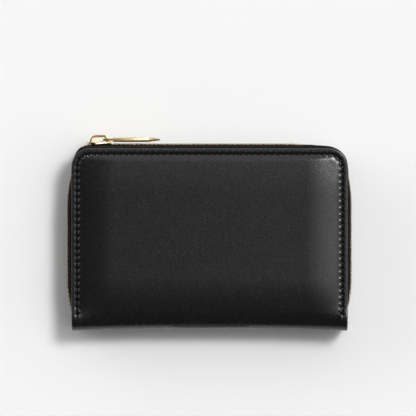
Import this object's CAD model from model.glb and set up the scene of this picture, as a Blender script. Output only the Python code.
"""Looks for the zip-around wallet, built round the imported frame.

Leather skins, seams, zip, hardware, lining and pockets. Lengths inside the builders are millimetres in the
frame's axes, and become metres when a mesh is made.
"""
import math

import bpy
import numpy as np
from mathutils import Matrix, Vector


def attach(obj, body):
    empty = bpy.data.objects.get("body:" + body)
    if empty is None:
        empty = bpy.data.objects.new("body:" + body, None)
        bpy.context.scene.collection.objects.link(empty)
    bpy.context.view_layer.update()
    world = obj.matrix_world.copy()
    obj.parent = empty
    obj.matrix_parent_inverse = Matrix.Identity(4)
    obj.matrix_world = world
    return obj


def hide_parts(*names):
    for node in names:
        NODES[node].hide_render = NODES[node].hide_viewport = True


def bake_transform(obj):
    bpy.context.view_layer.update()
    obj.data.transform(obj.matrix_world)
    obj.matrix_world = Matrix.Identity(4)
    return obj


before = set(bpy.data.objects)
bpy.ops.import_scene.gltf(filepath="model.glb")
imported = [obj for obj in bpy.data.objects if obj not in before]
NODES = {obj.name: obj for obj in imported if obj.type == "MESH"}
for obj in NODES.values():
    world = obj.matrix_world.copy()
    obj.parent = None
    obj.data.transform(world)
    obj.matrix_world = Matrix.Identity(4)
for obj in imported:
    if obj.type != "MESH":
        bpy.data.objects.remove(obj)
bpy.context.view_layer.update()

MM = 0.001

# Shell, as in the CAD
HALF_W = 72.25
TOP_Y = 47.85
CORNER = 9.5
FOLD_Y = -38.85              # where the flat cover ends and the fold starts
FOLD_R = 9.0
FOLD_ARC = FOLD_R * math.pi / 2
MID_Z = 13.0
SPINE_HALF = MID_Z - FOLD_R  # flat part of the spine, from the fold to the middle plane
RIM_DROP = 2.4
SEAM_D = 2.6                 # the rim's seam, in from the outline
SIDE_STITCHES, CORNER_STITCHES, TOP_STITCHES = 23, 3, 38
STEPS = 6                    # skin vertices to a stitch
SIDE_N, ARC_N, TOP_N = SIDE_STITCHES * STEPS, CORNER_STITCHES * STEPS, TOP_STITCHES * STEPS
RING_N = 2 * (SIDE_N + ARC_N) + TOP_N + 1


# ---------------------------------------------------------------- meshes

def make_object(name, verts, faces, material, flow=None, smooth_deg=50.0):
    """A mesh object from millimetre vertices; flow is an (along, across) pair in mm for each vertex."""
    mesh = bpy.data.meshes.new(name)
    mesh.from_pydata((np.asarray(verts, float) * MM).tolist(), [], faces)
    mesh.validate()
    if flow is not None:
        attribute = mesh.attributes.new("flow", "FLOAT_VECTOR", "POINT")
        flat = np.zeros((len(verts), 3), np.float32)
        flat[:, :2] = np.asarray(flow, float) * MM
        attribute.data.foreach_set("vector", flat.ravel())
    mesh.polygons.foreach_set("use_smooth", [True] * len(mesh.polygons))
    mesh.set_sharp_from_angle(angle=math.radians(smooth_deg))
    mesh.materials.append(material)
    obj = bpy.data.objects.new(name, mesh)
    bpy.context.scene.collection.objects.link(obj)
    return obj


class Builder:
    """Collects the vertices and faces of one piece."""

    def __init__(self):
        self.verts, self.faces, self.flow = [], [], []

    def add(self, points, flow=None):
        start = len(self.verts)
        self.verts.extend(np.asarray(points, float).tolist())
        still = np.zeros((len(points), 2))
        self.flow.extend(np.asarray(still if flow is None else flow, float).tolist())
        return np.arange(start, len(self.verts))

    def face(self, *corners):
        seen = []
        for corner in corners:
            if int(corner) not in seen:
                seen.append(int(corner))
        if len(seen) > 2:
            self.faces.append(seen)

    def grid(self, index, closed=False):
        """Quads over a 2-D array of vertex numbers; closed joins its last column to its first."""
        rows, columns = index.shape
        for r in range(rows - 1):
            for c in range(columns if closed else columns - 1):
                d = (c + 1) % columns
                self.face(index[r, c], index[r, d], index[r + 1, d], index[r + 1, c])

    def sheet(self, top, bottom):
        """A closed sheet from the vertex numbers of its two faces."""
        self.grid(top)
        self.grid(bottom[::-1])
        self.grid(np.array([bottom[:, 0], top[:, 0]]))
        self.grid(np.array([top[:, -1], bottom[:, -1]]))
        self.grid(np.array([top[0], bottom[0]]))
        self.grid(np.array([bottom[-1], top[-1]]))

    def flip(self):
        self.faces = [face[::-1] for face in self.faces]

    def done(self, name, material, **options):
        return make_object(name, self.verts, self.faces, material, self.flow, **options)


def smooth(low, high, x):
    """A soft step from 0 at low to 1 at high; low may be the larger."""
    t = np.clip((np.asarray(x, float) - low) / (high - low), 0.0, 1.0)
    return t * t * (3 - 2 * t)


def mirrored(z, wanted):
    """z, or its mirror image across the wallet's middle plane."""
    return 2 * MID_Z - z if wanted else z


# ---------------------------------------------------------------- materials

class Nodes:
    """Short calls for a material's node tree."""

    def __init__(self, name):
        self.material = bpy.data.materials.new(name)
        self.material.use_nodes = True
        self.tree = self.material.node_tree
        self.shader = self.tree.nodes["Principled BSDF"]

    def new(self, kind, inputs=None, **settings):
        node = self.tree.nodes.new(kind)
        for key, value in settings.items():
            setattr(node, key, value)
        for key, value in (inputs or {}).items():
            if isinstance(value, bpy.types.NodeSocket):
                self.tree.links.new(value, node.inputs[key])
            else:
                node.inputs[key].default_value = value
        return node

    def place(self, scale=1.0, flow=False, stretch=(1, 1, 1), turn=(0, 0, 0)):
        if flow:
            source = self.new("ShaderNodeAttribute", attribute_name="flow").outputs["Vector"]
        else:
            source = self.new("ShaderNodeTexCoord").outputs["Object"]
        wanted = {"Vector": source, "Rotation": turn, "Scale": tuple(scale * s for s in stretch)}
        return self.new("ShaderNodeMapping", wanted).outputs["Vector"]

    def noise(self, place, detail=2.0, roughness=0.5):
        wanted = {"Vector": place, "Scale": 1.0, "Detail": detail, "Roughness": roughness}
        return self.new("ShaderNodeTexNoise", wanted).outputs["Fac"]

    def cells(self, place):
        return self.new("ShaderNodeTexVoronoi", {"Vector": place, "Scale": 1.0}).outputs["Distance"]

    def wave(self, place, direction):
        wanted = {"Vector": place, "Scale": 1.0}
        return self.new("ShaderNodeTexWave", wanted, bands_direction=direction).outputs["Fac"]

    def math(self, operation, a, b):
        return self.new("ShaderNodeMath", {0: a, 1: b}, operation=operation).outputs[0]

    def span(self, value, low, high, to_low=0.0, to_high=1.0):
        wanted = {"Value": value, "From Min": low, "From Max": high, "To Min": to_low, "To Max": to_high}
        return self.new("ShaderNodeMapRange", wanted).outputs["Result"]

    def colours(self, factor, *stops):
        node = self.new("ShaderNodeValToRGB", {"Fac": factor})
        ramp = node.color_ramp
        while len(ramp.elements) < len(stops):
            ramp.elements.new(0.5)
        for element, (position, colour) in zip(ramp.elements, stops):
            element.position = position
            element.color = (*colour, 1.0)
        return node.outputs["Color"]

    def bump(self, height, strength, distance_mm, normal=None):
        wanted = {"Height": height, "Strength": strength, "Distance": distance_mm * MM}
        if normal is not None:
            wanted["Normal"] = normal
        return self.new("ShaderNodeBump", wanted).outputs["Normal"]

    def finish(self, **inputs):
        for key, value in inputs.items():
            socket = self.shader.inputs[key.replace("_", " ")]
            if isinstance(value, bpy.types.NodeSocket):
                self.tree.links.new(value, socket)
            else:
                socket.default_value = value
        return self.material


def outer_leather():
    """Black printed leather: fine creases along two crossing diagonals, over a soft unevenness."""
    n = Nodes("outer_leather")
    drawn = n.cells(n.place(1500, stretch=(1.0, 0.5, 1.0), turn=(0.2, 0.1, math.radians(35))))
    crossed = n.cells(n.place(1700, stretch=(0.5, 1.0, 1.0), turn=(0.1, 0.3, math.radians(-28))))
    fine = n.noise(n.place(6500), 3.0, 0.6)
    broad = n.noise(n.place(160), 3.0, 0.55)
    grain = n.math("ADD", n.math("MULTIPLY", drawn, 0.55), n.math("MULTIPLY", crossed, 0.45))
    relief = n.bump(n.math("ADD", grain, n.math("MULTIPLY", fine, 0.12)), 0.5, 0.04)
    relief = n.bump(broad, 0.2, 0.12, relief)
    tone = n.math("ADD", n.math("MULTIPLY", grain, 0.8), n.math("MULTIPLY", broad, 0.3))
    colour = n.colours(tone, (0.25, (0.0028, 0.0028, 0.0030)), (0.95, (0.0065, 0.0065, 0.0068)))
    gloss = n.span(n.math("ADD", grain, n.math("MULTIPLY", broad, 0.3)), 0.2, 1.0, 0.21, 0.31)
    return n.finish(Base_Color=colour, Roughness=gloss, Normal=relief, Specular_IOR_Level=0.5)


def edge_paint():
    """Black paint on the leather's cut edges, nearly smooth."""
    n = Nodes("edge_paint")
    relief = n.bump(n.noise(n.place(1400), 2.0), 0.15, 0.08)
    colour = n.colours(n.noise(n.place(300)), (0.3, (0.008, 0.008, 0.0085)), (0.8, (0.014, 0.014, 0.014)))
    return n.finish(Base_Color=colour, Roughness=0.5, Normal=relief, Specular_IOR_Level=0.3)


def inner_leather():
    """Plain matt leather of the card slots and the coin pocket, with small pores."""
    n = Nodes("inner_leather")
    pores = n.cells(n.place(2300))
    broad = n.noise(n.place(120), 3.0, 0.5)
    relief = n.bump(n.math("ADD", pores, n.math("MULTIPLY", n.noise(n.place(4200), 3.0), 0.5)), 0.35, 0.05)
    colour = n.colours(n.math("ADD", n.math("MULTIPLY", pores, 0.5), broad),
                       (0.35, (0.012, 0.012, 0.013)), (1.1, (0.026, 0.025, 0.026)))
    return n.finish(Base_Color=colour, Roughness=n.span(broad, 0.3, 0.7, 0.42, 0.58), Normal=relief)


def woven(name, dark, light, across_mm, along_mm, flow, sheen):
    """A weave of crossing yarns. flow weaves along a strip instead of along the frame's axes."""
    n = Nodes(name)
    warp = n.wave(n.place(1.0 / MM, flow=flow, stretch=(0.0, 0.5 / across_mm, 0.0)), direction="Y")
    weft = n.wave(n.place(1.0 / MM, flow=flow, stretch=(0.5 / along_mm, 0.0, 0.0)), direction="X")
    twill = n.place(1.0 / MM, flow=flow, stretch=(0.35 / along_mm,) * 3)
    diagonal = n.wave(twill, direction="DIAGONAL")
    cloth = n.math("ADD", n.math("MULTIPLY", warp, weft), n.math("MULTIPLY", diagonal, 0.6))
    fuzz = n.noise(n.place(6000, flow=flow), 2.0)
    height = n.math("ADD", cloth, n.math("MULTIPLY", fuzz, 0.3))
    colour = n.colours(n.math("MULTIPLY", height, 0.6), (0.1, dark), (0.9, light))
    n.shader.inputs["Sheen Weight"].default_value = sheen
    n.shader.inputs["Sheen Roughness"].default_value = 0.5
    relief = n.bump(height, 0.5, 0.12)
    return n.finish(Base_Color=colour, Roughness=0.82, Normal=relief, Specular_IOR_Level=0.12)


def thread_material():
    """Black two-ply thread: its strands run slantwise along the flow."""
    n = Nodes("thread")
    strands = n.wave(n.place(1.0 / MM, flow=True, stretch=(1.1, 1.6, 0.0)), direction="DIAGONAL")
    height = n.math("ADD", strands, n.math("MULTIPLY", n.noise(n.place(5000), 2.0), 0.4))
    colour = n.colours(height, (0.2, (0.002, 0.002, 0.0021)), (1.0, (0.006, 0.006, 0.0062)))
    relief = n.bump(height, 0.4, 0.06)
    return n.finish(Base_Color=colour, Roughness=0.6, Normal=relief, Specular_IOR_Level=0.08)


def gold(name, base, roughness):
    """Polished plating with fine handling marks and darker tone in its low places."""
    n = Nodes(name)
    marks = n.noise(n.place(1.0 / MM, stretch=(0.5, 6.0, 6.0), turn=(0.0, 0.1, 0.35)), 3.0, 0.6)
    blotch = n.noise(n.place(260), 3.0, 0.6)
    deep = tuple(c * 0.78 for c in base)
    colour = n.colours(n.math("ADD", n.math("MULTIPLY", marks, 0.4), n.math("MULTIPLY", blotch, 0.6)),
                       (0.3, deep), (0.62, base))
    gloss = n.span(n.math("ADD", n.math("MULTIPLY", marks, 0.5), n.math("MULTIPLY", blotch, 0.5)),
                   0.3, 0.7, roughness, roughness + 0.12)
    relief = n.bump(marks, 0.25, 0.01)
    return n.finish(Base_Color=colour, Metallic=1.0, Roughness=gloss, Normal=relief)


def board_material():
    """Grey-brown pressed board."""
    n = Nodes("board")
    fibres = n.noise(n.place(900, stretch=(1, 3, 1)), 4.0, 0.7)
    colour = n.colours(fibres, (0.3, (0.09, 0.08, 0.07)), (0.7, (0.16, 0.15, 0.13)))
    return n.finish(Base_Color=colour, Roughness=0.85, Normal=n.bump(fibres, 0.3, 0.05))


def floor_material():
    """Plain pale paper with a hardly visible unevenness."""
    n = Nodes("floor")
    faint = n.noise(n.place(6.0), 2.0)
    colour = n.colours(faint, (0.3, (0.80, 0.803, 0.805)), (0.7, (0.815, 0.818, 0.82)))
    return n.finish(Base_Color=colour, Roughness=0.75, Specular_IOR_Level=0.2)


LEATHER_MAT = outer_leather()
EDGE_MAT = edge_paint()
INNER_MAT = inner_leather()
LINING_MAT = woven("lining_cloth", (0.009, 0.009, 0.0095), (0.03, 0.03, 0.031), 0.28, 0.28, False, 0.1)
TAPE_MAT = woven("zip_tape", (0.003, 0.003, 0.0032), (0.010, 0.010, 0.0105), 0.42, 0.55, True, 0.02)
THREAD_MAT = thread_material()
GOLD_MAT = gold("hardware_gold", (0.88, 0.67, 0.36), 0.14)
TEETH_MAT = gold("zip_gold", (0.46, 0.345, 0.18), 0.26)
BOARD_MAT = board_material()


# ---------------------------------------------------------------- leather skins

# distance in from the outline and height over the rim's level of the rows under the cut edge
UNDER_ROWS = [(1.0, -1.40), (0.45, -1.36), (0.12, -1.16)]
# distance in from the outline of the rows on the visible face, close together over the rim and the seam
FACE_ROWS = [
    0.0, 0.06, 0.2, 0.42, 0.75, 1.1, 1.4, 1.65, 1.85, 2.05, 2.25, 2.45, 2.65, 2.85, 3.05, 3.25, 3.45, 3.65,
    3.9, 4.2, 4.55, 5.0, 5.6, 6.4, 7.4, 8.6,
]
PAINTED_ROWS = 5
COLUMNS = np.linspace(-(HALF_W - CORNER), HALF_W - CORNER, TOP_N + 1)
EDGE_RADIUS, EDGE_DEPTH = 0.5, 0.85

# distances along the section, from the middle of the cover towards the spine
RIM_RISE = (33.0, 52.0)
CROWN_START, CROWN_TURN, CROWN_END = 20.0, 39.0, 54.0
CROWN_SLOPE = 0.21
BOW, BOW_RISE = 1.25, (36.0, 53.0)

# the padding: where it starts inside the rim, and how far in from the edges it is full
PAD_START, PAD_GATE, PAD_FOOT = 2.9, (2.8, 6.0), 0.14
PAD_INSET, SIDE_REACH, SIDE_POWER = 3.0, 19.0, 2.1
TOP_REACH, TOP_POWER, TOP_SHARE = 20.0, 1.8, 0.48
CORNER_INSET, CORNER_REACH, CORNER_EASE = 4.0, 8.5, 0.42

# height, distance inside the seam and width of each part of the sewn channel
GROOVE = (-0.4, 0.0, 0.36)
INNER_PUFF = (0.26, 1.1, 0.6)
OUTER_PUFF = (0.05, -0.7, 0.35)
HOLE = (-0.55, 0.55, 0.5)


def rim_level(t):
    """Height of the rim over the closed wallet's outer plane, at t along the section."""
    return -RIM_DROP * (1 - smooth(*RIM_RISE, t))


def crown_level(t):
    """Height of the padding's top: it falls away ever faster before the fold and fills out on the spine."""
    before, after = CROWN_TURN - CROWN_START, CROWN_END - CROWN_TURN
    fall = CROWN_SLOPE * np.clip(t - CROWN_START, 0, before) ** 2 / (2 * before)
    lowest = CROWN_SLOPE * before / 2
    u = np.clip((t - CROWN_TURN) / after, 0, 1)
    back = lowest * (2 * u ** 3 - 3 * u ** 2 + 1) + CROWN_SLOPE * after * (u ** 3 - 2 * u ** 2 + u)
    return -np.where(t < CROWN_TURN, fall, back)


def dome(q, reach, power):
    """A rounded rise from 0 at q = 0 to 1 at q = reach."""
    return 1 - (1 - np.clip(q / reach, 0, 1)) ** power


def padding(d, x, y, t):
    """Share of the way from the rim's level up to the padding's top."""
    foot = np.clip(1 - np.exp(PAD_START - d), 0, 1)
    sides = dome(HALF_W - PAD_INSET - np.abs(x), SIDE_REACH, SIDE_POWER)
    top = 1 - TOP_SHARE + TOP_SHARE * dome(TOP_Y - PAD_INSET - y, TOP_REACH, TOP_POWER)
    full = smooth(*PAD_GATE, d) * sides * np.where(t < 0, top, 1.0)
    from_corner = np.hypot(HALF_W - CORNER_INSET - np.abs(x), TOP_Y - CORNER_INSET - y)
    eased = 1 - CORNER_EASE * np.exp(-(from_corner / CORNER_REACH) ** 2) * (t < 0)
    return (PAD_FOOT * foot + (1 - PAD_FOOT) * full) * eased


def ridge(d, part):
    """A rounded ridge or groove that follows the seam."""
    height, inside, width = part
    return height * np.exp(-((d - SEAM_D - inside) / width) ** 2)


def seam_relief(d, phase, strength):
    """The sewn channel: a groove under the thread, with the leather puffed up between the holes."""
    between = -np.cos(2 * math.pi * phase)
    puffs = between * (ridge(d, INNER_PUFF) + ridge(d, OUTER_PUFF))
    holes = smooth(0.2, 0.9, -between) * ridge(d, HOLE)
    round_rim = -0.06 * np.clip(np.abs(d - 1.3), 0, 1) ** 2 + 0.06 * smooth(2.0, 3.2, d)
    return strength * (ridge(d, GROOVE) + puffs + holes) + round_rim


def edge_rounding(d):
    """How the rim rolls over into the cut edge."""
    across = np.clip(1 - d / EDGE_RADIUS, 0, 1)
    return -EDGE_DEPTH * (1 - np.sqrt(1 - across ** 2))


def unevenness(x, t):
    """Slow, irregular waves a few hundredths of a millimetre high."""
    first = np.sin(x * 0.083 + 1.9 * np.sin(t * 0.051) + 0.4)
    second = np.sin(t * 0.127 + 1.4 * np.sin(x * 0.037) + 1.1)
    return 0.02 * first * second + 0.01 * np.sin(0.17 * x + 0.11 * t + first)


def bow(x, t):
    """The spine is drawn in a little between its ends."""
    return BOW * (1 - (np.abs(x) / HALF_W) ** 2.2) * smooth(*BOW_RISE, t)


def section(t, lift):
    """(y, z) on the front half, at t from the middle of the cover round the fold, raised by lift."""
    t = np.asarray(t, float)
    over = t + FOLD_Y
    angle = np.clip(over / FOLD_R, 0, math.pi / 2)
    y = np.where(over < 0, -t, FOLD_Y - FOLD_R * np.sin(angle))
    z = 2 * MID_Z - FOLD_R + FOLD_R * np.cos(angle) - np.clip(over - FOLD_ARC, 0, None)
    return y - lift * np.sin(angle), z + lift * np.cos(angle)


def ring_points(d):
    """The outline moved in by d, from the left fold up, over and down to the right fold."""
    cx, cy = HALF_W - CORNER, TOP_Y - CORNER
    quarter = np.arange(ARC_N) / ARC_N * math.pi / 2
    up, along = np.arange(SIDE_N) / SIDE_N, np.arange(TOP_N) / TOP_N
    down = np.arange(SIDE_N + 1) / SIDE_N
    left, right = math.pi - quarter, math.pi / 2 - quarter
    return np.vstack([
        np.column_stack([0 * up - HALF_W + d, FOLD_Y + (cy - FOLD_Y) * up]),
        np.column_stack([-cx + (CORNER - d) * np.cos(left), cy + (CORNER - d) * np.sin(left)]),
        np.column_stack([-cx + 2 * cx * along, 0 * along + TOP_Y - d]),
        np.column_stack([cx + (CORNER - d) * np.cos(right), cy + (CORNER - d) * np.sin(right)]),
        np.column_stack([0 * down + HALF_W - d, cy + (FOLD_Y - cy) * down]),
    ])


def skin_heights(d, x, y, t, phase, sewn):
    """Lift of the visible face over the closed wallet's outer plane."""
    base = rim_level(t)
    lift = base + (crown_level(t) - base) * padding(d, x, y, t)
    fade = 1 - 0.72 * smooth(38.9, 41.5, t)
    lift = lift + seam_relief(d, phase, sewn * fade) * (1 - 0.6 * smooth(40, 50, t)) + edge_rounding(d)
    return lift + unevenness(x, t) * smooth(3.2, 8.0, d)


def skin_points(x, t, lift, front):
    """Points of a skin from plan x, distance t along the section and lift, with the spine's bow."""
    y, z = section(t, lift)
    return np.column_stack([x + 0 * t, y + bow(x, t), mirrored(z, not front)])


def cover_rings(b, front):
    """The rows that run round the outline: under the cut edge, over it and across the seam."""
    phase = (np.arange(RING_N) % STEPS) / STEPS
    rings = []
    for d, drop in UNDER_ROWS + [(d, 0.0) for d in FACE_ROWS]:
        x, y = ring_points(d).T
        lift = rim_level(-y) + drop if drop else skin_heights(d + 0 * x, x, y, -y, phase, 1.0)
        rings.append(b.add(skin_points(x, -y, lift, front), np.column_stack([x, y])))
    return rings


def cover_middle(b, front):
    """The vertices inside the innermost ring, as an array of rows and columns."""
    middle = np.zeros((SIDE_N + 1, TOP_N + 1), int)
    for row, y in enumerate(np.linspace(FOLD_Y, TOP_Y - CORNER, SIDE_N + 1)):
        depth = np.minimum(HALF_W - np.abs(COLUMNS), TOP_Y - y)
        t = -y + 0 * COLUMNS
        lift = skin_heights(depth, COLUMNS, -t, t, 0 * COLUMNS, 0.0)
        middle[row] = b.add(skin_points(COLUMNS, t, lift, front), np.column_stack([COLUMNS, t]))
    return middle


def join_cover(b, rings, middle):
    """Faces from ring to ring, from the last ring to the middle, and over the middle."""
    left, right = np.full(ARC_N, middle[-1, 0]), np.full(ARC_N, middle[-1, -1])
    last = np.concatenate([middle[:-1, 0], left, middle[-1, :-1], right, middle[::-1, -1]])
    for outer, inner in zip(rings, rings[1:] + [last]):
        for i in range(RING_N - 1):
            b.face(outer[i], outer[i + 1], inner[i + 1], inner[i])
    b.grid(middle)


def fold_rows(b, rings, middle, front):
    """The cover's last row, and the rows that carry it on round the fold to the middle of the spine."""
    band = np.array([d for d, drop in UNDER_ROWS] + FACE_ROWS)
    band_drop = np.array([drop for d, drop in UNDER_ROWS] + [0.0] * len(FACE_ROWS))
    x = np.concatenate([-HALF_W + band, COLUMNS, (HALF_W - band)[::-1]])
    d = np.concatenate([band, HALF_W - np.abs(COLUMNS), band[::-1]])
    drop = np.concatenate([band_drop, 0 * COLUMNS, band_drop[::-1]])
    rows = [np.concatenate([[ring[0] for ring in rings], middle[0], [ring[-1] for ring in rings[::-1]]])]
    round_fold = np.linspace(0, FOLD_ARC, 30)[1:]
    on_spine = np.linspace(FOLD_ARC, FOLD_ARC + SPINE_HALF, 7)[1:]
    for past_fold in np.concatenate([round_fold, on_spine]):
        t = past_fold - FOLD_Y + 0 * x
        face = skin_heights(d, x, 0 * x + FOLD_Y, t, 0.5 + 0 * x, 0.6)
        lift = np.where(drop < 0, rim_level(t) + drop, face)
        rows.append(b.add(skin_points(x, t, lift, front), np.column_stack([x, t])))
    b.grid(np.array(rows)[::-1])
    return rows


def close_skin(b, under, rows):
    """The flesh side, as wide strips from edge to edge, and the end of the half spine."""
    half = SIDE_N + ARC_N
    for i in range(half):
        extra = list(under[half + 1:RING_N - 1 - half]) if i == half - 1 else []
        b.face(under[i], under[RING_N - 1 - i], under[RING_N - 2 - i], *extra[::-1], under[i + 1])
    for above, below in zip(rows[:-1], rows[1:]):
        b.face(above[0], below[0], below[-1], above[-1])
    b.face(*b.add([b.verts[i] for i in rows[-1]]))


def paint_edges(obj, rings, rows):
    """Edge paint on the faces of the outermost rows."""
    obj.data.materials.append(EDGE_MAT)
    edge = {int(v) for ring in rings[:PAINTED_ROWS] for v in ring}
    for row in rows[1:]:
        edge.update(int(v) for v in (*row[:PAINTED_ROWS], *row[-PAINTED_ROWS:]))
    for polygon in obj.data.polygons:
        if len(polygon.vertices) == 4 and all(v in edge for v in polygon.vertices):
            polygon.material_index = 1


def leather_skin(name, front):
    """One cover, its fold and half of the spine as a single closed skin of leather."""
    b = Builder()
    rings = cover_rings(b, front)
    middle = cover_middle(b, front)
    join_cover(b, rings, middle)
    rows = fold_rows(b, rings, middle, front)
    close_skin(b, rings[0], rows)
    if front:
        b.flip()
    obj = b.done(name, LEATHER_MAT, smooth_deg=75.0)
    paint_edges(obj, rings, rows)
    return obj


front_skin = leather_skin("front_skin", True)
back_skin = leather_skin("back_skin", False)
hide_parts("front_cover", "spine_cover")
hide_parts("back_cover", "spine_cover")


def across_fold(obj, front):
    """Bends a piece between its cover and the spine."""
    if front:
        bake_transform(obj)
    else:
        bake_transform(obj)


across_fold(front_skin, True)
across_fold(back_skin, False)


# ---------------------------------------------------------------- stitches

THREAD_R, THREAD_SLANT = 0.42, 0.95
TACK_R = 0.3


def add_thread(b, points, facing, radius, sides=8, turns=1.6):
    """A two-ply thread along points, rounded off at both ends; facing is 1 if seen from +Z, else -1."""
    points = np.asarray(points, float)
    tangent = np.gradient(points, axis=0)
    tangent = tangent / np.linalg.norm(tangent, axis=1)[:, None]
    run = np.linspace(0, 1, len(points))
    round_off = np.sqrt(np.clip(1 - (2 * run - 1) ** 8, 0.05, 1))
    angle = np.arange(sides) * 2 * math.pi / sides
    loops = []
    for i, point in enumerate(points):
        up = np.array([0.0, 0.0, facing]) - tangent[i] * (facing * tangent[i, 2])
        up = up / np.linalg.norm(up)
        across = np.cross(tangent[i], up)
        ply = 1 + 0.16 * np.cos(2 * (angle - turns * math.pi * run[i]))
        r = radius * round_off[i] * ply
        loop = point + np.outer(r * np.cos(angle), across) + np.outer(r * np.sin(angle), up)
        loops.append(b.add(loop, np.column_stack([np.full(sides, 10 * run[i]), angle / 2])))
    b.grid(np.array(loops), closed=True)
    b.face(*loops[0][::-1])
    b.face(*loops[-1])


def stitch_arch(share, low, rise, margin, power):
    """Height of a stitch over the leather: down in its holes and proud between them."""
    return low + rise * np.sin(math.pi * np.clip(share, margin, 1 - margin)) ** power


def rim_stitches(name, front):
    """The visible run of thread in the sewn channel, hole to hole."""
    b = Builder()
    facing = 1.0 if front else -1.0
    line = ring_points(SEAM_D)
    share = np.linspace(0, 1, 11)
    arch = stitch_arch(share, -0.62, 0.72, 0.02, 0.45)
    for start in range(0, len(line) - 1, STEPS):
        x, y = (np.interp(start + share * STEPS, np.arange(len(line)), way) for way in line.T)
        direction = np.array([x[-1] - x[0], y[-1] - y[0]])
        direction /= np.linalg.norm(direction)
        slant = THREAD_SLANT * (share - 0.5)
        x = x + direction[1] * slant
        y = y - direction[0] * slant
        z = 2 * MID_Z + rim_level(-y) + arch
        add_thread(b, np.column_stack([x, y, mirrored(z, not front)]), facing, THREAD_R)
    for side in (-1, 1):  # the bar tack that ends the seam at the spine, over the rim's edge
        x = side * (HALF_W - np.linspace(4.0, 0.25, 9))
        y = np.full(9, FOLD_Y + 0.1)
        z = 2 * MID_Z + rim_level(-y) + 0.12 - 0.5 * np.abs(np.linspace(-1, 1, 9)) ** 5
        add_thread(b, np.column_stack([x, y, mirrored(z, not front)]), facing, TACK_R)
    obj = b.done(name, THREAD_MAT)
    return obj


for half, is_front in (("front", True), ("back", False)):
    seam = rim_stitches(f"{half}_rim_thread", is_front)
    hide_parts(f"{half}_stitching")
    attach(seam, f"{half}_half")


# ---------------------------------------------------------------- zip tape

CHAIN_LEFT_X, CHAIN_RIGHT_X, CHAIN_TOP_Y, ZIP_END_Y = -73.8, 73.4, 49.3, -39.7
SLIDER_X = -58.2
PARTING = 1.2                # how far each row stands off where the zip is open


def rounded_line(corners, radii, step):
    """Points, headings and distances along straight runs joined by tangent arcs."""
    corners = np.array(corners, float)
    rows, travelled = [], 0.0

    def straight(a, z, heading):
        nonlocal travelled
        length = np.linalg.norm(z - a)
        count = max(1, int(length / step))
        for i in range(count):
            rows.append((*(a + (z - a) * i / count), heading, travelled + length * i / count))
        travelled += length

    def heading_to(a, z):
        return math.atan2(*(z - a)[::-1])

    def unit(heading):
        return np.array([math.cos(heading), math.sin(heading)])

    position = corners[0]
    for corner, previous, following, radius in zip(corners[1:], corners, corners[2:], radii):
        before, after = heading_to(previous, corner), heading_to(corner, following)
        turn = (after - before + math.pi) % (2 * math.pi) - math.pi
        reach = radius * math.tan(abs(turn) / 2)
        start = corner - reach * unit(before)
        straight(position, start, before)
        outwards = -math.copysign(1, turn) * radius
        centre = start - outwards * unit(before + math.pi / 2)
        count = max(3, int(radius * abs(turn) / step))
        for k in range(count):
            heading = before + turn * k / count
            spot = centre + outwards * unit(heading + math.pi / 2)
            rows.append((*spot, heading, travelled + radius * abs(turn) * k / count))
        travelled += radius * abs(turn)
        position = corner + reach * unit(after)
    last = heading_to(position, corners[-1])
    straight(position, corners[-1], last)
    rows.append((*corners[-1], last, travelled))
    return np.array(rows)


CHAIN = rounded_line(
    [
        (CHAIN_LEFT_X + 2.7, ZIP_END_Y),
        (CHAIN_LEFT_X, -27.0),
        (CHAIN_LEFT_X, 24.0),
        (CHAIN_LEFT_X + 5.5, CHAIN_TOP_Y),
        (45.0, CHAIN_TOP_Y),
        (CHAIN_RIGHT_X - 3.7, CHAIN_TOP_Y - 2.4),
        (CHAIN_RIGHT_X, 24.0),
        (CHAIN_RIGHT_X, -27.0),
        (CHAIN_RIGHT_X - 2.7, ZIP_END_Y),
    ],
    [60.0, 60.0, 8.5, 120.0, 9.0, 60.0, 60.0],
    1.2,
)

TAPE_SET_IN = 0.35           # how far the tape lies inside the middle of the teeth
TAPE_HALF = 0.2
TAPE_SEAM_D = 3.6            # where the tape ends under the rim, in from the outline
BULGE, CORNER_BULGE = 0.66, 0.9
CORD_R, CORD_OUT, CORD_UP = 0.64, 0.18, 2.25
# height above the chain's middle, share of the outward bulge, share of the way in to the seam under the rim
TAPE_PROFILE = [
    (0.9, 0.0, 0.0), (2.2, 0.0, 0.0), (3.4, 0.0, 0.0), (4.5, 0.02, 0.0), (5.0, 0.16, 0.0), (5.5, 0.48, 0.0),
    (6.1, 0.83, 0.0), (6.8, 1.0, 0.0), (7.5, 0.94, 0.04), (8.1, 0.72, 0.14), (8.5, 0.42, 0.32),
    (8.75, 0.15, 0.56), (8.9, 0.0, 0.8), (8.95, 0.0, 1.0),
]


def parting_at(x):
    """How far a row stands off the middle: apart left of the slider, together right of it."""
    return PARTING * (1 - smooth(SLIDER_X - 1.8, SLIDER_X + 4.2, x))


def outline_depth(x, y):
    """How far inside the leather's outline a point lies; negative outside it."""
    ax, cx, cy = np.abs(x), HALF_W - CORNER, TOP_Y - CORNER
    corner = CORNER - np.hypot(np.clip(ax - cx, 0, None), np.clip(y - cy, 0, None))
    return np.where((ax > cx) & (y > cy), corner, np.minimum(HALF_W - ax, TOP_Y - y))


def tape_bulge(x, y):
    """How far the folded tape stands out: more round the corners, not at all by the slider."""
    right = smooth(46, 54, x) * smooth(30, 37, y)
    left = smooth(-63, -68, x) * smooth(30, 38, y)
    by_slider = smooth(-66.5, -64, x) * smooth(-26, -44, x) * smooth(40, 45, y)
    return (BULGE + CORNER_BULGE * np.maximum(right, left)) * (1 - by_slider)


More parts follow.
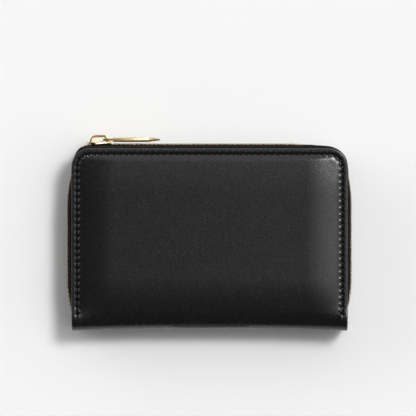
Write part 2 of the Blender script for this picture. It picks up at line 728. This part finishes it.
def zip_tape(name, front):
    """The tape from the teeth up to the seam: a soft outward bulge that turns in under the rim."""
    b = Builder()
    x0, y0, heading, run = CHAIN.T

    def place(out, z):
        x, y = x0 - np.sin(heading) * out, y0 + np.cos(heading) * out
        return np.column_stack([x, y, mirrored(z, not front)])

    sink = TAPE_SEAM_D - outline_depth(x0, y0)
    bulge = tape_bulge(x0, y0) + 0.08 * np.sin(run * 0.5)
    outer, inner = [], []
    for w, share, way_in in TAPE_PROFILE:
        lowered = parting_at(x0) * max(0.0, 1 - (w - 0.9) / 7.5)
        for rows, offset, drop in ((outer, TAPE_HALF, 0.0), (inner, -TAPE_HALF, -0.32 * way_in)):
            out = (offset - TAPE_SET_IN) * (1 - way_in) + bulge * share - sink * way_in
            z = MID_Z + w + lowered + drop + 0.06 * np.sin(run * 0.35) * share
            rows.append(b.add(place(out, z), np.column_stack([run, np.full(len(run), w + 5 * way_in)])))
    loop = np.array(outer + inner[::-1])
    b.grid(loop)
    b.grid(np.array([loop[-1], loop[0]]))
    b.face(*loop[:, 0])
    b.face(*loop[::-1, -1])
    if not front:
        b.flip()
    # the cord that the teeth are clamped round, seen dark between their legs
    add_thread(b, place(CORD_OUT, MID_Z + CORD_UP + parting_at(x0)), 1.0, CORD_R, turns=160)
    obj = b.done(name, TAPE_MAT)
    return obj


for half, is_front in (("front", True), ("back", False)):
    tape = zip_tape(f"{half}_tape_cloth", is_front)
    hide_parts(f"{half}_zip_tape")
    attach(tape, f"{half}_half")


# ---------------------------------------------------------------- linings

LINING_FACES = (-3.8, -4.85)  # lifts of the hidden and the visible face
LINING_INSET = 2.4
LINING_TOP_T = -45.6


def lining_skin(name, front):
    """The lining of one cover, carried round the fold onto half of the spine."""
    b = Builder()
    fold_end = FOLD_ARC - FOLD_Y
    on_cover, round_fold = np.linspace(LINING_TOP_T, 36.0, 24), np.linspace(37.0, fold_end, 26)
    stations = [*on_cover, *round_fold, fold_end + SPINE_HALF / 2, fold_end + SPINE_HALF]
    across = np.linspace(-1, 1, 61)
    layers = []
    for depth, rippled in zip(LINING_FACES, (0.6, 1.0)):
        rows = []
        for station in stations:
            t = station + 0 * across
            x = across * (HALF_W - LINING_INSET - max(0.0, -station - 38.0) * 0.35)
            ripple = 0.12 * np.sin(across * 19 + t * 0.2) * smooth(38, 44, t) * (1 - smooth(50, 57, t))
            lift = depth + 1.5 * smooth(34, 46, t) + ripple * rippled
            rows.append(b.add(skin_points(x, t, lift, front), np.column_stack([x, t])))
        layers.append(np.array(rows))
    b.sheet(*layers)
    if not front:
        b.flip()
    obj = b.done(name, LINING_MAT, smooth_deg=40)
    return obj


for half, is_front in (("front", True), ("back", False)):
    cloth = lining_skin(f"{half}_lining_cloth", is_front)
    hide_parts(f"{half}_lining", "spine_lining")
    across_fold(cloth, is_front)


# ---------------------------------------------------------------- card slots and coin pocket

CREASE_D, CREASE_DEPTH, CREASE_WIDTH = 1.45, 0.11, 0.22
# stations close together at both ends of a panel, where the leather is rounded and creased
NEAR_EDGE = np.array([0.0, 0.07, 0.2, 0.45, 0.9, 1.2, 1.45, 1.7, 2.1])


def from_edges(length, middle_step):
    """Stations along a length: close together at both ends, about middle_step apart between."""
    count = max(2, int(length / middle_step))
    middle = np.linspace(NEAR_EDGE[-1], length - NEAR_EDGE[-1], count)[1:-1]
    return np.concatenate([NEAR_EDGE, middle, length - NEAR_EDGE[::-1]])


def leather_sheet(b, x_span, y_span, surface, thickness, up, crease_top=False):
    """A cut panel with rounded edges, a slight hand-made unevenness, and a creased line under its top edge.

    surface gives the height of the visible face along y; up is 1 where that face looks to +Z, else -1.
    """
    xs = x_span[0] + from_edges(x_span[1] - x_span[0], 2.5)
    ys = y_span[0] + from_edges(y_span[1] - y_span[0], 2.0)
    faces = []
    for outer in (True, False):
        rows = []
        for y in ys:
            to_side = np.minimum(xs - x_span[0], x_span[1] - xs)
            d = np.minimum(to_side, min(y - y_span[0], y_span[1] - y))
            z = surface(y) + 0 * xs
            if outer:
                z = z - up * 0.2 * (1 - np.clip(d / 0.25, 0, 1)) ** 2
                z = z - up * 0.04 * (1 + np.sin(xs * 0.21 + y * 0.5) * np.sin(y * 0.3 + 0.6))
                if crease_top:
                    away = y_span[1] - y
                    z = z - up * CREASE_DEPTH * np.exp(-((away - CREASE_D) / CREASE_WIDTH) ** 2)
            else:
                z = z - up * thickness
            rows.append(b.add(np.column_stack([xs, 0 * xs + y, z]), np.column_stack([xs, 0 * xs + y])))
        faces.append(np.array(rows))
    b.sheet(*faces)
    if up < 0:
        b.flip()


def sewn_line(b, line, surface, up, pitch=3.0, run=2.2, radius=0.2):
    """Stitches along a line of (x, y) points; surface gives the leather's height along y."""
    line = np.asarray(line, float)
    travelled = np.concatenate([[0], np.cumsum(np.hypot(*np.diff(line, axis=0).T))])
    share = np.linspace(0, 1, 7)
    arch = stitch_arch(share, -0.22, 0.30, 0.03, 0.5)
    for k in range(int(travelled[-1] / pitch)):
        spots = (k + 0.5 * (1 - run / pitch)) * pitch + share * run
        x, y = (np.interp(spots, travelled, way) for way in line.T)
        z = np.array([surface(at) for at in y]) + up * arch
        add_thread(b, np.column_stack([x, y, z]), float(up), radius, sides=6, turns=2)


CARD_SLOTS, CARD_LEATHER, CARD_HALF_W = 4, 0.5, 62.0
CARD_LOW_Y, CARD_TOP_Y, CARD_STEP, CARD_LAP = -37.0, 8.0, 10.0, 22.0
CARD_Z = 4.95                # height of the slots' lowest leather over the back cover's outside
CARD_RISE = 0.055            # slope of the upper panels, each lying over the one below
CARD_SEAM_INSET = 1.9


def card_span(index):
    """(low, top) of a slot panel."""
    top = CARD_TOP_Y + CARD_STEP * index
    return (CARD_LOW_Y if index == 0 else top - CARD_LAP), top


def card_height(index, y):
    """Height of a slot panel's visible face over the back cover."""
    low, top = card_span(index)
    rise = 1.3 if index == 0 else CARD_RISE * CARD_LAP
    return CARD_Z + CARD_LEATHER + rise * (y - low) / (top - low)


def card_surface(y):
    """Height of whichever slot panel is on top."""
    covering = [card_span(index)[0] <= y <= card_span(index)[1] for index in range(CARD_SLOTS)]
    return max(card_height(index, y) for index in np.flatnonzero(covering))


def card_slots(half, front):
    """The stepped slot panels of one half, and the seams down both their sides."""
    up = -1 if front else 1
    for index in range(CARD_SLOTS):
        b = Builder()
        leather_sheet(b, (-CARD_HALF_W, CARD_HALF_W), card_span(index),
                      lambda y: mirrored(card_height(index, y), front), CARD_LEATHER, up, crease_top=True)
        card = b.done(f"{half}_card_panel_{index + 1}", INNER_MAT)
        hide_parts(f"{half}_card_slot_{index + 1}")
        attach(card, f"{half}_half")
    b = Builder()
    low, top = CARD_LOW_Y + 1.0, card_span(CARD_SLOTS - 1)[1] - 0.5
    for side in (-1, 1):
        x = side * (CARD_HALF_W - CARD_SEAM_INSET)
        sewn_line(b, [(x, low), (x, top)], lambda y: mirrored(card_surface(y), front), up)
    thread = b.done(f"{half}_card_thread", THREAD_MAT)
    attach(thread, f"{half}_half")


POCKET_HALF_W, POCKET_TOP_Y, POCKET_CORNER = 60.0, 36.5, 6.0
POCKET_SEAM_INSET, POCKET_SEAM_LOW_Y = 1.4, -42.0
POCKET_BACK_Z, POCKET_FRONT_Z = 11.15, 14.85
COIN_ZIP_Y, COIN_MOUTH_HALF, COIN_SEAM_HALF_W = 27.0, 4.6, 55.0
COIN_TAPE_SPAN = (1.93, 6.8)  # from the coin teeth out under the pocket's leather
COIN_TAPE_HALF_W, COIN_TAPE_Z, COIN_TAPE = 57.3, 14.25, 0.35


def pocket_seams():
    """Stitches round both faces of the pocket and along both sides of the coin zip."""
    b = Builder()
    x, top = POCKET_HALF_W - POCKET_SEAM_INSET, POCKET_TOP_Y - POCKET_SEAM_INSET
    corners = [(-x, POCKET_SEAM_LOW_Y), (-x, top), (x, top), (x, POCKET_SEAM_LOW_Y)]
    edge = rounded_line(corners, [POCKET_CORNER - POCKET_SEAM_INSET] * 2, 1.0)[:, :2]
    sewn_line(b, edge, lambda y: POCKET_BACK_Z, -1)
    in_mouth = np.flatnonzero(np.abs(edge[:, 1] - COIN_ZIP_Y) < COIN_MOUTH_HALF + 0.4)
    gap = int(np.flatnonzero(np.diff(in_mouth) > 1)[0])
    over_zip = edge[in_mouth[gap] + 1:in_mouth[gap + 1]]
    for run in (edge[:in_mouth[0]], over_zip, edge[in_mouth[-1] + 1:]):
        sewn_line(b, run, lambda y: POCKET_FRONT_Z, 1)
    for side in (-1, 1):
        y = COIN_ZIP_Y + side * (COIN_MOUTH_HALF + 1.1)
        sewn_line(b, [(-COIN_SEAM_HALF_W, y), (COIN_SEAM_HALF_W, y)], lambda y: POCKET_FRONT_Z, 1)
    obj = b.done("coin_pocket_thread", THREAD_MAT)
    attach(obj, "spine")


def coin_tapes():
    """The coin zip's woven tapes, carried into the side seams."""
    for name, side in (("upper", 1), ("lower", -1)):
        b = Builder()
        y_span = sorted(COIN_ZIP_Y + side * away for away in COIN_TAPE_SPAN)
        x_span = (-COIN_TAPE_HALF_W, COIN_TAPE_HALF_W)
        leather_sheet(b, x_span, y_span, lambda y: COIN_TAPE_Z, COIN_TAPE, 1)
        obj = b.done(f"coin_{name}_tape_cloth", TAPE_MAT)
        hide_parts(f"coin_zip_{name}_tape")
        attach(obj, "spine")


card_slots("front", True)
card_slots("back", False)
pocket_seams()
coin_tapes()


# ---------------------------------------------------------------- CAD nodes that stay

def dress(node, material, bevel_mm=0.0):
    """Gives a CAD node its material, smooth shading by angle, and softened edges."""
    obj = NODES[node]
    obj.data.materials.clear()
    obj.data.materials.append(material)
    weld = obj.modifiers.new("weld", "WELD")
    weld.merge_threshold = 1e-6
    if bevel_mm:
        bevel = obj.modifiers.new("bevel", "BEVEL")
        bevel.width = bevel_mm * MM
        bevel.segments = 2
        bevel.limit_method = "ANGLE"
        bevel.angle_limit = math.radians(40)
    obj.data.polygons.foreach_set("use_smooth", [True] * len(obj.data.polygons))
    obj.data.set_sharp_from_angle(angle=math.radians(32))


for name in NODES:
    if NODES[name].hide_render:
        continue
    if "teeth" in name or "stop" in name:
        dress(name, TEETH_MAT)
    elif "slider" in name or "pull" in name:
        dress(name, GOLD_MAT)
    elif "stiffener" in name:
        dress(name, BOARD_MAT)
    else:
        dress(name, INNER_MAT, 0.15)


# ---------------------------------------------------------------- floor, light, camera

FLOOR_HALF_M = 3
KEY_TOWARD, KEY_STRENGTH, KEY_SPREAD_DEG = (0.53, 0.31, 1.0), 0.48, 14.0
ROOM = 0.08
# direction, cosines off it where the light starts and where it is full, strength
STUDIO = [
    ((0.8, 0.6, 0.0), -0.2, 0.6, 1.0),         # a wide bright wall behind and to the right
    ((-0.85, 0.5, 0.0), 0.7, 0.98, 3.3),       # a smaller one at the left
    ((-0.3, -1.0, 0.0), 0.93, 1.0, 0.15),      # a faint strip in front
    ((0.27, 0.0, 0.96), 0.975, 0.994, 0.8),    # a dim panel overhead, mirrored in the right of the padding
    ((0.37, 0.37, 0.85), 0.988, 0.998, 34.0),  # a small bright one, mirrored in the top right corner
]
SENSOR_MM = 36.0
FRAME_WIDTH_M = 0.2182
CAMERA_HEIGHT, SHARP_HEIGHT = 2.0, 0.018

floor_mesh = bpy.data.meshes.new("floor")
floor_corners = [(x * FLOOR_HALF_M, y * FLOOR_HALF_M, 0) for x, y in ((-1, -1), (1, -1), (1, 1), (-1, 1))]
floor_mesh.from_pydata(floor_corners, [], [(0, 1, 2, 3)])
floor_mesh.materials.append(floor_material())
floor = bpy.data.objects.new("floor", floor_mesh)
bpy.context.scene.collection.objects.link(floor)


def sun(name, toward, strength, spread_deg):
    """A distant soft box: the same light everywhere on the floor."""
    data = bpy.data.lights.new(name, "SUN")
    data.energy = strength
    data.angle = math.radians(spread_deg)
    lamp = bpy.data.objects.new(name, data)
    lamp.rotation_euler = Vector(toward).to_track_quat("Z", "Y").to_euler()
    bpy.context.scene.collection.objects.link(lamp)


def studio(room, lights):
    """A dim room with soft lights far off in the given directions."""
    world = bpy.data.worlds.new("studio")
    world.use_nodes = True
    tree = world.node_tree
    background = tree.nodes["Background"]
    background.inputs["Color"].default_value = (1.0, 1.0, 1.0, 1.0)
    place = tree.nodes.new("ShaderNodeTexCoord")
    total = None
    for direction, start, full, strength in lights:
        along = tree.nodes.new("ShaderNodeVectorMath")
        along.operation = "DOT_PRODUCT"
        along.inputs[1].default_value = Vector(direction).normalized()
        tree.links.new(place.outputs["Generated"], along.inputs[0])
        share = tree.nodes.new("ShaderNodeMapRange")
        share.interpolation_type = "SMOOTHSTEP"
        share.inputs["From Min"].default_value = start
        share.inputs["From Max"].default_value = full
        share.inputs["To Max"].default_value = strength
        tree.links.new(along.outputs["Value"], share.inputs["Value"])
        added = tree.nodes.new("ShaderNodeMath")
        added.operation = "ADD"
        added.inputs[1].default_value = room
        if total is not None:
            tree.links.new(total, added.inputs[1])
        tree.links.new(share.outputs["Result"], added.inputs[0])
        total = added.outputs[0]
    tree.links.new(total, background.inputs["Strength"])
    bpy.context.scene.world = world


sun("key", KEY_TOWARD, KEY_STRENGTH, KEY_SPREAD_DEG)
studio(ROOM, STUDIO)

bpy.context.scene.view_settings.view_transform = "Standard"
bpy.context.scene.view_settings.look = "None"

camera_data = bpy.data.cameras.new("camera")
camera_data.sensor_width = SENSOR_MM
camera_data.lens = SENSOR_MM * (CAMERA_HEIGHT - SHARP_HEIGHT) / FRAME_WIDTH_M
camera = bpy.data.objects.new("camera", camera_data)
camera.location = (-0.84 * MM, 16.65 * MM, CAMERA_HEIGHT)
bpy.context.scene.collection.objects.link(camera)
bpy.context.scene.camera = camera

bpy.context.view_layer.update()
